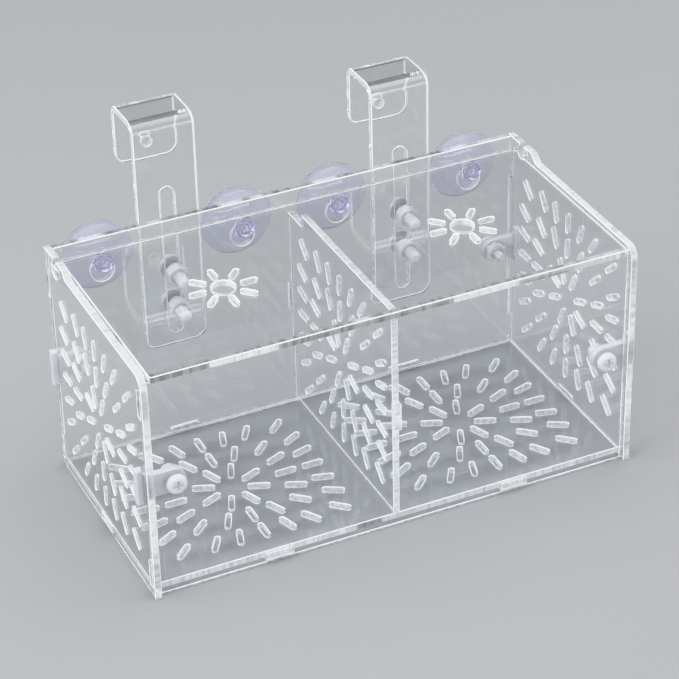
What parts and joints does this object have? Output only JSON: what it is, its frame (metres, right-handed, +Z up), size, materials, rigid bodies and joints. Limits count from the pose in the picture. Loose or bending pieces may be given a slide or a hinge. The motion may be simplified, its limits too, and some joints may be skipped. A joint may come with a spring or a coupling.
{
  "type": "fish breeding box",
  "caption": "Clear slotted fish breeding box: divided compartments, swing-up lid with feeding holes, sliding rim hooks and suction cups at the back.",
  "frame": {"origin": "centre of the whole footprint (rim hooks included) on the plane that the box stands on", "axes": "+X along the width, left to right seen from the front; +Y from the front panel towards the rim hooks; +Z up"},
  "size_m": [0.205, 0.1216, 0.1405],
  "materials": {
    "sheet": "clear polished acrylic sheet with bright laser-cut edges",
    "nylon": "milky translucent nylon",
    "soft_pvc": "clear soft PVC with a faint violet tint"
  },
  "bodies": {
    "box": {"front_panel": "sheet", "back_panel": "sheet", "left_end_panel": "sheet", "right_end_panel": "sheet", "floor_panel": "sheet", "divider": "sheet", "left_hook_screws": "nylon", "right_hook_screws": "nylon", "front_left_strap": "nylon", "front_right_strap": "nylon", "back_left_strap": "nylon", "back_right_strap": "nylon", "strap_screws": "nylon", "strap_nuts": "nylon"},
    "lid": {"lid": "sheet"},
    "left_hook": {"left_hook": "sheet"},
    "right_hook": {"right_hook": "sheet"},
    "outer_left_cup": {"outer_left_cup": "soft_pvc"},
    "inner_left_cup": {"inner_left_cup": "soft_pvc"},
    "inner_right_cup": {"inner_right_cup": "soft_pvc"},
    "outer_right_cup": {"outer_right_cup": "soft_pvc"},
    "left_upper_nut": {"left_upper_nut": "nylon"},
    "left_lower_nut": {"left_lower_nut": "nylon"},
    "right_upper_nut": {"right_upper_nut": "nylon"},
    "right_lower_nut": {"right_lower_nut": "nylon"}
  },
  "joints": [
    {"name": "lid_hinge", "type": "hinge", "parent": "box", "child": "lid", "pos_m": [0, 0.0268, 0.0946], "axis": [-1, 0, 0], "range_deg": [0, 98]},
    {"name": "left_hook_slide", "type": "slide", "parent": "box", "child": "left_hook", "axis": [0, 0, 1], "range_m": [-0.0343, 0.0103]},
    {"name": "right_hook_slide", "type": "slide", "parent": "box", "child": "right_hook", "axis": [0, 0, 1], "range_m": [-0.0273, 0.0173]},
    {"name": "outer_left_cup_slide", "type": "slide", "parent": "box", "child": "outer_left_cup", "axis": [0, 0, 1], "range_m": [-0.0043, 0]},
    {"name": "inner_left_cup_slide", "type": "slide", "parent": "box", "child": "inner_left_cup", "axis": [0, 0, 1], "range_m": [-0.0043, 0]},
    {"name": "inner_right_cup_slide", "type": "slide", "parent": "box", "child": "inner_right_cup", "axis": [0, 0, 1], "range_m": [-0.0043, 0]},
    {"name": "outer_right_cup_slide", "type": "slide", "parent": "box", "child": "outer_right_cup", "axis": [0, 0, 1], "range_m": [-0.0043, 0]},
    {"name": "left_upper_nut_turn", "type": "hinge", "parent": "box", "child": "left_upper_nut", "pos_m": [-0.0493, 0.0332, 0.074], "axis": [0, -1, 0], "continuous": true},
    {"name": "left_lower_nut_turn", "type": "hinge", "parent": "box", "child": "left_lower_nut", "pos_m": [-0.0493, 0.0332, 0.059], "axis": [0, -1, 0], "continuous": true},
    {"name": "right_upper_nut_turn", "type": "hinge", "parent": "box", "child": "right_upper_nut", "pos_m": [0.0493, 0.0332, 0.074], "axis": [0, -1, 0], "continuous": true},
    {"name": "right_lower_nut_turn", "type": "hinge", "parent": "box", "child": "right_lower_nut", "pos_m": [0.0493, 0.0332, 0.059], "axis": [0, -1, 0], "continuous": true}
  ]
}
